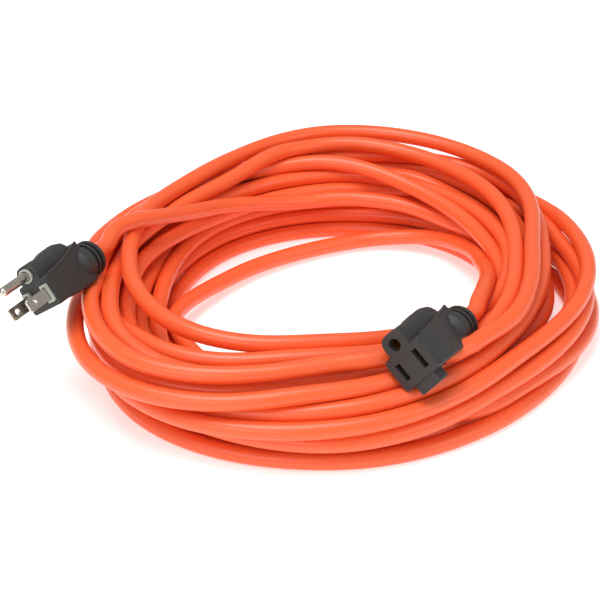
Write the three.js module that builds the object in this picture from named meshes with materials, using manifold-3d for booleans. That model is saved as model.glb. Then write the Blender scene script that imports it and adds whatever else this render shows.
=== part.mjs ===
// A coiled outdoor extension cord: moulded three-prong plug, moulded three-slot connector and one
// long round cord.
// Millimetres, +Z up. The coil lies flat on Z = 0. The plug hangs over its left rim and the connector
// lies on top of its front right side.
// Each end piece is built in its own axes: +X out of the face, +Z towards the ground pin, with the
// cord leaving along -X. "Back" distances run from the face towards the cord.
import * as THREE from 'three';
import { mergeVertices } from 'three/addons/utils/BufferGeometryUtils.js';
import Module from 'manifold-3d';

const wasm = await Module();
wasm.setup();

// Cord.
const CORD_DIAMETER = 8.8;
const WIRE_DIAMETER = 3.1;
const STRAND_DIAMETER = 1.9;

// Coil ring that stands for the bundled turns.
const COIL_CENTRE_X = 7.2;
const COIL_INNER_RADIUS = 98;
const COIL_OUTER_RADIUS = 142;
const COIL_HEIGHT = 44;
const COIL_SHOULDER = 13;

// Standard three-prong pattern.
const BLADE_SPACING = 12.7;
const GROUND_OFFSET = 11.9;
const BLADE_THICKNESS = 1.52;
const BLADE_WIDTH = 6.35;
const BLADE_LENGTH = 16.6;
const BLADE_HOLE_DIAMETER = 3.1;
const BLADE_HOLE_REACH = 11.9;
const GROUND_PIN_DIAMETER = 4.75;
const GROUND_PIN_LENGTH = 20.6;
const LINE_SLOT_HEIGHT = 8.6;
const NEUTRAL_SLOT_HEIGHT = 9.9;
const SLOT_WIDTH = 3.1;
const GROUND_HOLE_DIAMETER = 6.3;

// Moulded bodies.
const PLUG_LENGTH = 46.5;
const PLUG_FACE_WIDTH = 19.2;
const CONNECTOR_LENGTH = 52.5;
const CONNECTOR_FACE_WIDTH = 24;
const COLLAR_DIAMETER = 19;
const COLLAR_LENGTH = 11.5;
const COLLAR_GROOVE_DEPTH = 1.8;
const COLLAR_GROOVE_WIDTH = 1.7;
const CORD_AXIS_HEIGHT = 1;

// Clearances.
const FIT_GAP = 0.3;
const BORE_GAP = 0.4;
const SEAT_GAP = 1;
const FUNNEL_RISE = 0.5;

// Where the two ends lie: face point, then heading, pitch and roll in degrees.
const PLUG_PLACE = { point: [-134, -71.8, 58.8], heading: -113.6, pitch: -4.7, roll: 35.4 };
const CONNECTOR_PLACE = { point: [41.9, -117.5, 51.1], heading: -121.3, pitch: -7.8, roll: 52.7 };

// Route points of the two uncoiled stretches, after each leaves its collar.
const PLUG_TAIL_ROUTE = [
  [-105.8, -0.2, 54.5],
  [-89.7, 16, 51.5],
  [-71.8, 36.5, 44.5],
  [-52.2, 59.4, 35.8],
  [-13.2, 80.7, 25.5],
  [10.1, 84.5, 23.8],
  [31.1, 82.4, 22.5],
  [49.1, 77.4, 20.5],
];
const CONNECTOR_TAIL_ROUTE = [
  [84.3, -37, 40],
  [89.5, -10.6, 34],
  [90, 14, 27],
  [84.5, 41, 20],
  [64, 68, 11.5],
  [31, 75.5, 6],
  [-13, 60, 4.8],
  [-45, 36, 4.8],
  [-73, -4, 4.8],
  [-77, -24, 4.8],
];

const orangeJacket = material(0xf0552d, 0.38, 0);
const blackVinyl = material(0x3b3937, 0.55, 0);
const greyNylon = material(0xaab0a8, 0.5, 0);
const nickel = material(0xcdc3b4, 0.28, 1);
const brass = material(0xb5853a, 0.35, 1);
const copper = material(0xb56a40, 0.4, 1);
const blackWire = material(0x242424, 0.5, 0);
const whiteWire = material(0xe6e4de, 0.5, 0);
const greenWire = material(0x2f7d46, 0.5, 0);

function material(color, roughness, metalness) {
  return new THREE.MeshStandardMaterial({ color, roughness, metalness });
}

// A rounded rectangle in the Y-Z plane, anticlockwise seen from +X.
function roundedRing(halfWidth, low, high, radius, middleY = 0, cornerSteps = 3) {
  const corner = Math.min(radius, halfWidth * 0.98, (high - low) * 0.49);
  const ring = [];
  for (let quarter = 0; quarter < 4; quarter++) {
    const side = quarter === 0 || quarter === 3 ? 1 : -1;
    const top = quarter < 2;
    const centreY = middleY + side * (halfWidth - corner);
    const centreZ = top ? high - corner : low + corner;
    for (let step = 0; step <= cornerSteps; step++) {
      const angle = (quarter + step / cornerSteps) * Math.PI / 2;
      ring.push([centreY + corner * Math.cos(angle), centreZ + corner * Math.sin(angle)]);
    }
  }
  return ring;
}

function circleRing(radius, middleY, middleZ, sides) {
  const ring = [];
  for (let side = 0; side < sides; side++) {
    const angle = 2 * Math.PI * (side + 0.5) / sides;
    ring.push([middleY + radius * Math.cos(angle), middleZ + radius * Math.sin(angle)]);
  }
  return ring;
}

// A closed solid through matching rings. Sections are [back distance, ring], from the rear forward.
function loft(sections) {
  const count = sections[0][1].length;
  const positions = [];
  for (const [back, ring] of sections) {
    for (const [y, z] of ring) positions.push(-back, y, z);
  }
  const faces = [];
  for (let level = 0; level + 1 < sections.length; level++) {
    for (let i = 0; i < count; i++) {
      const next = (i + 1) % count;
      const a = level * count + i;
      const b = level * count + next;
      faces.push(a, b, b + count, a, b + count, a + count);
    }
  }
  const last = (sections.length - 1) * count;
  for (const [rear, offset] of [[true, 0], [false, last]]) {
    const ring = sections[rear ? 0 : sections.length - 1][1];
    const outline = ring.map(([y, z]) => new THREE.Vector2(y, z));
    for (const [a, b, c] of THREE.ShapeUtils.triangulateShape(outline, [])) {
      faces.push(...(rear ? [a, c, b] : [a + offset, b + offset, c + offset]));
    }
  }
  return toSolid(new THREE.BufferGeometry()
    .setAttribute('position', new THREE.Float32BufferAttribute(positions, 3))
    .setIndex(faces));
}

function prism(ring, rearBack, frontBack) {
  return loft([[rearBack, ring], [frontBack, ring]]);
}

// A round solid about a line along X. Stations are [back distance, radius], from the rear forward.
function turned(stations, middleY, middleZ, sides) {
  return loft(stations.map(([back, radius]) => [back, circleRing(radius, middleY, middleZ, sides)]));
}

function toSolid(geometry) {
  return new wasm.Manifold(new wasm.Mesh({
    numProp: 3,
    vertProperties: new Float32Array(geometry.attributes.position.array),
    triVerts: new Uint32Array(geometry.index.array),
  }));
}

function toMesh(name, solid, look) {
  const result = solid.getMesh();
  const geometry = new THREE.BufferGeometry();
  geometry.setAttribute('position', new THREE.BufferAttribute(new Float32Array(result.vertProperties), 3));
  geometry.setIndex(new THREE.BufferAttribute(new Uint32Array(result.triVerts), 1));
  geometry.computeVertexNormals();
  const mesh = new THREE.Mesh(geometry, look);
  mesh.name = name;
  return mesh;
}

function weld(geometry) {
  geometry.deleteAttribute('normal');
  geometry.deleteAttribute('uv');
  return mergeVertices(geometry, 1e-4);
}

// A round tube along a smooth curve through the points.
function tubeAlong(points, radius, steps, sides) {
  const outline = circleRing(radius, 0, 0, sides).map(([y, z]) => new THREE.Vector2(y, z));
  const curve = new THREE.CatmullRomCurve3(points.map((point) => new THREE.Vector3(...point)));
  const options = { steps, bevelEnabled: false, extrudePath: curve };
  return toSolid(weld(new THREE.ExtrudeGeometry(new THREE.Shape(outline), options)));
}

function placement({ point, heading, pitch, roll }) {
  const turn = new THREE.Euler(
    THREE.MathUtils.degToRad(roll), THREE.MathUtils.degToRad(pitch), THREE.MathUtils.degToRad(heading), 'ZYX',
  );
  const rotation = new THREE.Quaternion().setFromEuler(turn);
  return new THREE.Matrix4().compose(new THREE.Vector3(...point), rotation, new THREE.Vector3(1, 1, 1));
}

function placedGroup(name, place, meshes) {
  const group = new THREE.Group();
  group.name = name;
  placement(place).decompose(group.position, group.quaternion, group.scale);
  group.add(...meshes);
  return group;
}

const bladeY = BLADE_SPACING / 2;
// The three circuits of one end; the plug carries line on +Y and the connector mirrors it.
const circuitsWithLineOn = (lineSide) => [
  { name: 'line', y: lineSide * bladeY, z: 0, wireAngle: 270 + lineSide * 60, look: blackWire },
  { name: 'neutral', y: -lineSide * bladeY, z: 0, wireAngle: 270 - lineSide * 60, look: whiteWire },
  { name: 'ground', y: 0, z: GROUND_OFFSET, wireAngle: 90, look: greenWire },
];

const barrelRadius = 1.8;
const barrelLength = 4.2;
const barrelBore = STRAND_DIAMETER / 2 + FIT_GAP;
const boreRadius = CORD_DIAMETER / 2 + BORE_GAP;
const tailReach = 12;

// The crimp barrel behind a prong or contact, and the blind bore the copper sits in.
function crimpBarrel(circuit, back) {
  return turned([[back + barrelLength, barrelRadius], [back - 0.2, barrelRadius]], circuit.y, circuit.z, 10);
}

function crimpBore(circuit, back) {
  return turned([[back + barrelLength + 1, barrelBore], [back + 0.6, barrelBore]], circuit.y, circuit.z, 8);
}

// Copper in the crimp, and the insulated wire that gathers into the cord's round bundle.
function wirePieces(prefix, circuit, barrelBack, gatherBack, tailBack) {
  const wireStart = barrelBack + barrelLength + FIT_GAP;
  const strandFront = barrelBack + 0.6 + FIT_GAP;
  const strandRadius = STRAND_DIAMETER / 2;
  const angle = THREE.MathUtils.degToRad(circuit.wireAngle);
  const bundleRadius = (WIRE_DIAMETER + FIT_GAP) / Math.sqrt(3) + 0.05;
  const endY = bundleRadius * Math.cos(angle);
  const endZ = CORD_AXIS_HEIGHT + bundleRadius * Math.sin(angle);
  const path = [
    [-wireStart, circuit.y, circuit.z],
    [-wireStart - 2, circuit.y * 0.97, circuit.z * 0.98],
    [-gatherBack, endY, endZ],
    [-gatherBack - 3, endY, endZ],
    [-tailBack + FIT_GAP, endY, endZ],
  ];
  const strand = turned([[wireStart - FIT_GAP, strandRadius], [strandFront, strandRadius]], circuit.y, circuit.z, 8);
  return [
    toMesh(`${prefix}_${circuit.name}_strands`, strand, copper),
    toMesh(`${prefix}_${circuit.name}_wire`, tubeAlong(path, WIRE_DIAMETER / 2, 10, 8), circuit.look),
  ];
}

// The strain-relief collar with its two grooves, ending flush where the cord leaves.
function collar(length) {
  const radius = COLLAR_DIAMETER / 2;
  const floor = radius - COLLAR_GROOVE_DEPTH;
  const firstGroove = length - 3.2;
  const secondGroove = firstGroove - 2 * COLLAR_GROOVE_WIDTH;
  return turned([
    [length, radius - 1],
    [length - 1, radius],
    [firstGroove, radius],
    [firstGroove, floor],
    [firstGroove - COLLAR_GROOVE_WIDTH, floor],
    [firstGroove - COLLAR_GROOVE_WIDTH, radius],
    [secondGroove, radius],
    [secondGroove, floor],
    [secondGroove - COLLAR_GROOVE_WIDTH, floor],
    [secondGroove - COLLAR_GROOVE_WIDTH, radius],
    [length - COLLAR_LENGTH - 2, radius],
    [length - COLLAR_LENGTH - 5, radius - 2.6],
  ], 0, CORD_AXIS_HEIGHT, 20);
}

// The hollow behind a moulded face: a low wide space for the two blade wires and a tall narrow one for
// the ground wire, both narrowing to the round cord bore.
function chamber(frontBack, wideBack, gatherBack, length) {
  const low = -BLADE_WIDTH / 2 - FIT_GAP - 0.2;
  const reach = barrelRadius + 0.4;
  const round = roundedRing(boreRadius, CORD_AXIS_HEIGHT - boreRadius, CORD_AXIS_HEIGHT + boreRadius, boreRadius);
  const funnel = (halfWidth, bottom, top) => loft([
    [length + 1, round],
    [gatherBack, round],
    [(wideBack + gatherBack) / 2, roundedRing((halfWidth + boreRadius) / 2, (bottom - 2.5) / 2,
      (top + CORD_AXIS_HEIGHT + boreRadius) / 2 + FUNNEL_RISE, 3)],
    [wideBack, roundedRing(halfWidth, bottom, top, 2)],
    [frontBack, roundedRing(halfWidth, bottom, top, 2)],
  ]);
  const groundReach = Math.max(reach + 0.4, GROUND_PIN_DIAMETER / 2 + FIT_GAP);
  return funnel(bladeY + reach, low, -low).add(funnel(groundReach, 0, GROUND_OFFSET + groundReach));
}

// Grip shape shared by both ends: a block that waists in to a narrow finger grip before the collar.
function gripBody(faceWidth, faceLow, faceHigh, gripBack, flareLow, apexHigh) {
  const half = faceWidth / 2;
  const narrow = 6.6;
  const at = (share, width, low, high, corner) => [
    gripBack * share, roundedRing(width, low, high, corner),
  ];
  return loft([
    at(1.05, narrow - 0.7, flareLow + 1.2, apexHigh - 1.2, 1.5),
    at(1, narrow, flareLow, apexHigh, 1.5),
    at(0.84, narrow, flareLow, apexHigh - 1.2, 1.5),
    at(0.66, narrow + (half - narrow) * 0.32, flareLow + 0.4, faceHigh + 2.2, 1.5),
    at(0.48, narrow + (half - narrow) * 0.72, flareLow + 0.7, faceHigh + 1.2, 1.3),
    at(0.28, narrow + (half - narrow) * 0.94, faceLow - 0.2, faceHigh + 0.5, 1.2),
    at(0.02, half, faceLow, faceHigh, 1.2),
    at(0, half - 0.4, faceLow + 0.4, faceHigh - 0.4, 1),
  ]);
}

// The long rounded hump over the ground prong or socket, with a shallow step behind its front boss.
function groundHump(halfWidth, faceHigh, humpLength) {
  const at = (share, width, rise) => [
    humpLength * share, roundedRing(width, 0, faceHigh + rise, Math.min(width, 4.5)),
  ];
  return loft([
    at(1.02, halfWidth * 0.45, -5.2),
    at(0.97, halfWidth * 0.72, -2.4),
    at(0.88, halfWidth * 0.9, -0.2),
    at(0.74, halfWidth * 0.98, 0.9),
    at(0.5, halfWidth, 0.7),
    at(0.29, halfWidth - 0.5, -0.6),
    at(0.25, halfWidth, 0),
    at(0.02, halfWidth, 0),
    at(0, halfWidth - 0.4, -0.4),
  ]);
}

// The thin raised rim along the upper edge of one side of the grip.
function gripRim(side, faceWidth, faceHigh, gripBack, apexHigh) {
  const half = faceWidth / 2;
  const narrow = 6.6;
  const at = (share, widening, top) => [
    gripBack * share, circleRing(0.95, side * (narrow + (half - narrow) * widening - 0.6), top - 0.45, 8),
  ];
  return loft([
    at(1, 0, apexHigh),
    at(0.84, 0, apexHigh - 1.2),
    at(0.66, 0.32, faceHigh + 2.2),
    at(0.48, 0.72, faceHigh + 1.2),
    at(0.28, 0.94, faceHigh + 0.5),
    at(0.12, 0.98, faceHigh + 0.2),
  ]);
}

// Plug.
const plugGrip = 35;
const plugTailBack = PLUG_LENGTH - tailReach;
const bridgeFront = 1.8;
const bridgeDepth = 7;
const collarProud = 1.5;
const collarHalfHeight = 4.7;
const collarHalfWidth = 2.05;
const pinRingRadius = 3.7;
const plugBarrelBack = bridgeFront + bridgeDepth + 0.6;
const plugGather = 29.5;

function bladeSolid(circuit) {
  const half = BLADE_WIDTH / 2;
  const thin = BLADE_THICKNESS / 2;
  const blade = loft([
    [plugBarrelBack, roundedRing(thin, -half, half, 0.1, circuit.y, 1)],
    [-BLADE_LENGTH + 1, roundedRing(thin, -half, half, 0.1, circuit.y, 1)],
    [-BLADE_LENGTH, roundedRing(thin * 0.6, -half + 0.8, half - 0.8, 0.1, circuit.y, 1)],
  ]);
  const hole = new THREE.CylinderGeometry(BLADE_HOLE_DIAMETER / 2, BLADE_HOLE_DIAMETER / 2, 6, 16);
  hole.translate(BLADE_HOLE_REACH, circuit.y, 0);
  return blade.subtract(toSolid(weld(hole))).add(crimpBarrel(circuit, plugBarrelBack))
    .subtract(crimpBore(circuit, plugBarrelBack));
}

function groundPinSolid(circuit) {
  const radius = GROUND_PIN_DIAMETER / 2;
  const tipStart = GROUND_PIN_LENGTH - radius;
  const stations = [[plugBarrelBack, radius], [-tipStart, radius]];
  for (const angle of [30, 55, 78]) {
    const turn = THREE.MathUtils.degToRad(angle);
    stations.push([-tipStart - radius * Math.sin(turn), radius * Math.cos(turn)]);
  }
  const seam = prism(roundedRing(0.25, GROUND_OFFSET + radius - 0.8, GROUND_OFFSET + radius + 1, 0.05, 0, 1),
    -1, -GROUND_PIN_LENGTH - 1);
  return turned(stations, circuit.y, circuit.z, 16).subtract(seam)
    .add(crimpBarrel(circuit, plugBarrelBack)).subtract(crimpBore(circuit, plugBarrelBack));
}

// The pale premoulded bridge that holds the prongs, grown by a gap when it is used as its own pocket.
function bridgeSolid(grow) {
  const rear = bridgeFront + bridgeDepth + grow;
  const front = bridgeFront - grow;
  const block = prism(roundedRing(8.2 + grow, -5 - grow, 5 + grow, 0.8), rear, front);
  const column = prism(roundedRing(3.6 + grow, 0, GROUND_OFFSET + 3.2 + grow, 1), rear, front);
  let solid = block.add(column);
  const proud = grow > 0 ? -collarProud - 1 : -collarProud;
  for (const side of [-1, 1]) {
    const ring = roundedRing(collarHalfWidth + grow, -collarHalfHeight - grow, collarHalfHeight + grow, 0.5,
      side * bladeY);
    solid = solid.add(prism(ring, rear, proud));
  }
  const pinRing = turned([[rear, pinRingRadius + grow], [proud * 0.6 - grow, pinRingRadius + grow]],
    0, GROUND_OFFSET, 20);
  return solid.add(pinRing);
}

function bridgeWithProngHoles() {
  let solid = bridgeSolid(0);
  for (const side of [-1, 1]) {
    const slot = roundedRing(BLADE_THICKNESS / 2 + FIT_GAP, -BLADE_WIDTH / 2 - FIT_GAP,
      BLADE_WIDTH / 2 + FIT_GAP, 0.1, side * bladeY, 1);
    solid = solid.subtract(prism(slot, 14, -5));
  }
  const pinHole = GROUND_PIN_DIAMETER / 2 + FIT_GAP;
  return solid.subtract(turned([[14, pinHole], [-5, pinHole]], 0, GROUND_OFFSET, 16));
}

function plugBodySolid() {
  const outside = gripBody(PLUG_FACE_WIDTH, -7.4, 8, plugGrip, -9.4, 12.6)
    .add(gripRim(1, PLUG_FACE_WIDTH, 8, plugGrip, 12.6))
    .add(gripRim(-1, PLUG_FACE_WIDTH, 8, plugGrip, 12.6))
    .add(groundHump(6.2, GROUND_OFFSET + 4.8, plugGrip * 0.94))
    .add(collar(PLUG_LENGTH));
  const wires = chamber(bridgeFront + bridgeDepth - 0.2, plugBarrelBack + barrelLength, plugGather,
    PLUG_LENGTH);
  return outside.subtract(bridgeSolid(FIT_GAP)).subtract(wires);
}

// Connector.
const connectorGrip = 42;
const connectorTailBack = CONNECTOR_LENGTH - tailReach;
const carrierFront = 3.2;
const carrierRear = 15;
const contactHalfWidth = 2;
const contactHalfHeight = 4.7;
const groundContactRadius = 3.45;
const connectorBarrelBack = carrierRear + 0.4;
const connectorGather = 36.5;

function connectorBodySolid() {
  const foot = prism(roundedRing(6.7, -14, -6, 1), 8, 1);
  const outside = gripBody(CONNECTOR_FACE_WIDTH, -8.5, 8.5, connectorGrip, -9.3, 12.4)
    .add(gripRim(1, CONNECTOR_FACE_WIDTH, 8.5, connectorGrip, 12.4))
    .add(gripRim(-1, CONNECTOR_FACE_WIDTH, 8.5, connectorGrip, 12.4))
    .add(groundHump(7, GROUND_OFFSET + 6, connectorGrip * 0.9))
    .add(foot)
    .add(collar(CONNECTOR_LENGTH));
  let solid = outside.subtract(carrierBlock(FIT_GAP));
  solid = solid.subtract(chamber(carrierRear - 0.2, connectorBarrelBack + barrelLength, connectorGather,
    CONNECTOR_LENGTH));
  for (const [side, height] of [[-1, LINE_SLOT_HEIGHT], [1, NEUTRAL_SLOT_HEIGHT]]) {
    const slot = roundedRing(SLOT_WIDTH / 2, -height / 2, height / 2, 0.2, side * bladeY, 1);
    solid = solid.subtract(prism(slot, carrierFront + 0.5, -1));
  }
  const hole = GROUND_HOLE_DIAMETER / 2;
  return solid.subtract(turned([[carrierFront + 0.5, hole], [-1, hole]], 0, GROUND_OFFSET, 20));
}

function carrierBlock(grow) {
  const rear = carrierRear + grow;
  const front = carrierFront - grow;
  return prism(roundedRing(9.3 + grow, -6 - grow, 6 + grow, 0.8), rear, front)
    .add(prism(roundedRing(4.2 + grow, 0, GROUND_OFFSET + 4.3 + grow, 3.2), rear, front));
}

function carrierSolid() {
  let solid = carrierBlock(0);
  for (const side of [-1, 1]) {
    const cell = roundedRing(contactHalfWidth + FIT_GAP, -contactHalfHeight - FIT_GAP,
      contactHalfHeight + FIT_GAP, 0.3, side * bladeY, 1);
    solid = solid.subtract(prism(cell, carrierRear + 1, carrierFront - 1));
  }
  const cellRadius = groundContactRadius + FIT_GAP;
  return solid.subtract(turned([[carrierRear + 1, cellRadius], [carrierFront - 1, cellRadius]],
    0, GROUND_OFFSET, 20));
}

// A brass contact: two leaves for a blade, or a split sleeve for the ground pin, with a crimp barrel.
function contactSolid(circuit) {
  const front = carrierFront + 0.4;
  const leafRear = carrierRear - 1;
  let outer;
  let inner;
  if (circuit.name === 'ground') {
    outer = turned([[carrierRear, groundContactRadius], [front, groundContactRadius]], 0, GROUND_OFFSET, 20);
    const innerRadius = groundContactRadius - 0.85;
    inner = turned([[leafRear, innerRadius], [front - 1, innerRadius]], 0, GROUND_OFFSET, 20)
      .add(prism(roundedRing(0.5, GROUND_OFFSET, GROUND_OFFSET + 6, 0.1, 0, 1), leafRear, front - 1));
  } else {
    const outline = roundedRing(contactHalfWidth, -contactHalfHeight, contactHalfHeight, 0.2, circuit.y, 1);
    outer = prism(outline, carrierRear, front);
    inner = prism(roundedRing(contactHalfWidth - 0.9, -6, 6, 0.1, circuit.y, 1), leafRear, front - 1);
  }
  return outer.subtract(inner).add(crimpBarrel(circuit, connectorBarrelBack - 0.4))
    .subtract(crimpBore(circuit, connectorBarrelBack - 0.4));
}

// Cord: the coil as one ring, and the two free stretches as tubes.
function tailSolid(place, length, tailBack, route) {
  const frame = placement(place);
  const straight = [tailBack, length, length + 9].map((back) => (
    new THREE.Vector3(-back, 0, CORD_AXIS_HEIGHT).applyMatrix4(frame).toArray()
  ));
  return tubeAlong([...straight, ...route], CORD_DIAMETER / 2, 24, 10);
}

function coilSolid() {
  const profile = [
    [COIL_INNER_RADIUS + 6, 0],
    [COIL_OUTER_RADIUS - 6, 0],
    [COIL_OUTER_RADIUS, 8],
    [COIL_OUTER_RADIUS, COIL_HEIGHT - COIL_SHOULDER],
    [COIL_OUTER_RADIUS - COIL_SHOULDER, COIL_HEIGHT],
    [COIL_INNER_RADIUS + COIL_SHOULDER, COIL_HEIGHT],
    [COIL_INNER_RADIUS, COIL_HEIGHT - COIL_SHOULDER],
    [COIL_INNER_RADIUS, 8],
    [COIL_INNER_RADIUS + 6, 0],
  ].map(([radius, height]) => new THREE.Vector2(radius, height));
  const ring = new THREE.LatheGeometry(profile, 64);
  ring.rotateX(Math.PI / 2);
  ring.translate(COIL_CENTRE_X, 0, 0);
  const seatWidth = CONNECTOR_FACE_WIDTH / 2 + SEAT_GAP;
  const seat = prism(roundedRing(seatWidth, -14 - SEAT_GAP, 24, 2), CONNECTOR_LENGTH + 24, -SEAT_GAP);
  return toSolid(weld(ring)).subtract(seat.transform(placement(CONNECTOR_PLACE).elements));
}

const plugMeshes = [
  toMesh('plug_body', plugBodySolid(), blackVinyl),
  toMesh('plug_bridge', bridgeWithProngHoles(), greyNylon),
];
const connectorMeshes = [
  toMesh('connector_body', connectorBodySolid(), blackVinyl),
  toMesh('connector_carrier', carrierSolid(), greyNylon),
];
for (const circuit of circuitsWithLineOn(1)) {
  const prong = circuit.name === 'ground' ? groundPinSolid(circuit) : bladeSolid(circuit);
  const prongName = circuit.name === 'ground' ? 'plug_ground_pin' : `plug_${circuit.name}_blade`;
  plugMeshes.push(toMesh(prongName, prong, nickel));
  plugMeshes.push(...wirePieces('plug', circuit, plugBarrelBack, plugGather, plugTailBack));
}
for (const circuit of circuitsWithLineOn(-1)) {
  connectorMeshes.push(toMesh(`connector_${circuit.name}_contact`, contactSolid(circuit), brass));
  connectorMeshes.push(...wirePieces('connector', circuit, connectorBarrelBack - 0.4, connectorGather,
    connectorTailBack));
}

const extensionCord = new THREE.Group();
extensionCord.name = 'extension_cord';
extensionCord.add(
  placedGroup('plug', PLUG_PLACE, plugMeshes),
  placedGroup('connector', CONNECTOR_PLACE, connectorMeshes),
  toMesh('cord_coil', coilSolid(), orangeJacket),
  toMesh('plug_tail', tailSolid(PLUG_PLACE, PLUG_LENGTH, plugTailBack, PLUG_TAIL_ROUTE), orangeJacket),
  toMesh('connector_tail', tailSolid(CONNECTOR_PLACE, CONNECTOR_LENGTH, connectorTailBack,
    CONNECTOR_TAIL_ROUTE), orangeJacket),
);

export default extensionCord;
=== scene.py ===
# %% [markdown]
# # A coiled outdoor extension cord
# The object is a heavy extension cord: fifteen metres of round orange vinyl jacket wound by
# hand into a loose coil, with a moulded plug on one end and a moulded connector on the other.
# The design model already holds the sizes and the places of the plug, the connector and the
# coil. This file gives them their looks. It loads that model as a fixed frame, lays one real
# length of cord where the design's coil is, and then gives every surface its finish.

# %% Load the fixed frame
import math

import bpy
import numpy as np
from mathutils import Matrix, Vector


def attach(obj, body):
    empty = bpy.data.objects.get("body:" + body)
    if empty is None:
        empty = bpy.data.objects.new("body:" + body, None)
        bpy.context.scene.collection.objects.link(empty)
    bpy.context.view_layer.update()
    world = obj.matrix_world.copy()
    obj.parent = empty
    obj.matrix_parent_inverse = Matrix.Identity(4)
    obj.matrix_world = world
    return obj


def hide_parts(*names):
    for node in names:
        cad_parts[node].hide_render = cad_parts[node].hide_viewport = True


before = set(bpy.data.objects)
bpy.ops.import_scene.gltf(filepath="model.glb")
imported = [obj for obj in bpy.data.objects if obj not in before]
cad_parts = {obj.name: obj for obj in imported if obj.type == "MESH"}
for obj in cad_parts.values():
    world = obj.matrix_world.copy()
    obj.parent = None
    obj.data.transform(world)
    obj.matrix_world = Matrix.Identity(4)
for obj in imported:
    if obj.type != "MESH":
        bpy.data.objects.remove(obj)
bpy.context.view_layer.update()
print("nodes in the frame:", len(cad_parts))

# %% [markdown]
# ## The camera
# A coil this size is usually shown from about a third of a right angle above the floor, with a
# long lens that keeps the far side of the coil nearly as large as the near side. The camera is
# placed by turning and lifting it round a point near the middle of the coil, because then one
# distance and one angle say everything.

# %% Camera round the middle of the coil
AIM = Vector((0.0072, -0.005, 0.020))
CAMERA_LIFT = math.radians(32.0)
CAMERA_DISTANCE = 0.754
camera_data = bpy.data.cameras.new("studio_camera")
camera_data.lens = 84.9
camera_data.sensor_width = 36.0
camera_data.shift_x = -0.0583
camera_data.shift_y = -0.0133
camera = bpy.data.objects.new("studio_camera", camera_data)
bpy.context.scene.collection.objects.link(camera)
camera.location = AIM + CAMERA_DISTANCE * Vector((0.0, -math.cos(CAMERA_LIFT), math.sin(CAMERA_LIFT)))
camera.rotation_euler = (math.pi / 2 - CAMERA_LIFT, 0.0, 0.0)
bpy.context.scene.camera = camera
bpy.context.scene.view_settings.view_transform = "Standard"
print("camera at", tuple(round(v, 3) for v in camera.location))

# %% [markdown]
# ## Where the two ends sit
# The plug and the connector lie on top of the coil, each tipped and rolled its own way. Each
# has its own axes: out of the face, sideways, and up towards the ground pin. The cord leaves
# each one straight out of the back, so its first and last stretch come from these axes.

# %% Axes of the plug and the connector
MM = 0.001
CORD_DIAMETER = 8.8 * MM
CORD_RADIUS = CORD_DIAMETER / 2
CORD_AXIS_HEIGHT = 1.0 * MM


def end_axes(heading, pitch, roll):
    """Columns: out of the face, sideways, up. Angles in degrees."""
    h, p, r = (math.radians(a) for a in (heading, pitch, roll))
    turn = np.array(((math.cos(h), -math.sin(h), 0), (math.sin(h), math.cos(h), 0), (0, 0, 1)))
    tip = np.array(((math.cos(p), 0, math.sin(p)), (0, 1, 0), (-math.sin(p), 0, math.cos(p))))
    twist = np.array(((1, 0, 0), (0, math.cos(r), -math.sin(r)), (0, math.sin(r), math.cos(r))))
    return turn @ tip @ twist


PLUG_POINT = np.array((-134.0, -71.8, 58.8)) * MM
PLUG_AXES = end_axes(-113.6, -4.7, 35.4)
CONNECTOR_POINT = np.array((41.9, -117.5, 51.1)) * MM
CONNECTOR_AXES = end_axes(-121.3, -7.8, 52.7)
PLUG_LENGTH = 46.5 * MM
CONNECTOR_LENGTH = 52.5 * MM


def behind(point, axes, back, side=0.0, up=CORD_AXIS_HEIGHT):
    """A point behind the face of the plug or the connector."""
    return point + axes @ np.array((-back, side, up))


connector_exit = behind(CONNECTOR_POINT, CONNECTOR_AXES, CONNECTOR_LENGTH)
print("cord leaves the connector at", np.round(connector_exit, 4))

# %% [markdown]
# ## The route before it settles
# A person coils such a cord turn by turn, and no two turns come out the same: each one is
# wider on one side and tighter on another, and lies on the turns before it. So the route is
# written as a list of turns, each with its distance from the middle at eight places round the
# coil and a height at four of them. A loop turns that list into points, and the two tails join
# it to the plug and to the connector. The whole coil is then drawn in a little and pressed down
# a little, because settling spreads the turns and stacks them higher than they were written.

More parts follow.
